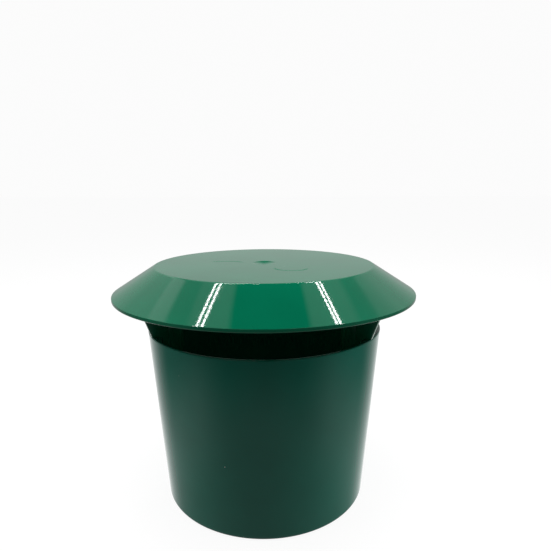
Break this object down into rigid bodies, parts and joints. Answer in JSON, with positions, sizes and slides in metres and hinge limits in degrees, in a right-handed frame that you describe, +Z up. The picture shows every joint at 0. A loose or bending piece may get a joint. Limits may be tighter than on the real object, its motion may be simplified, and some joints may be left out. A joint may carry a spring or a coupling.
{
  "type": "covered slug and snail bait trap",
  "caption": "Round bait trap: a tapered open cup under a sloped roof lid that stands on the rim on legs and leaves an entry gap.",
  "frame": {"origin": "centre of the cup's foot ring, on the ground", "axes": "+Z up along the common axis of the cup and the lid; one leg of the lid points along +Y"},
  "size_m": [0.13, 0.13, 0.1028],
  "materials": {
    "cup_plastic": "satin moulded polypropylene",
    "lid_plastic": "glossy moulded polypropylene"
  },
  "bodies": {
    "cup": {"bait_cup": "cup_plastic"},
    "lid": {"roof_lid": "lid_plastic"}
  },
  "joints": [
    {"name": "lid_lift", "type": "slide", "parent": "cup", "child": "lid", "axis": [0, 0, 1], "range_m": [0, 0.05]}
  ]
}
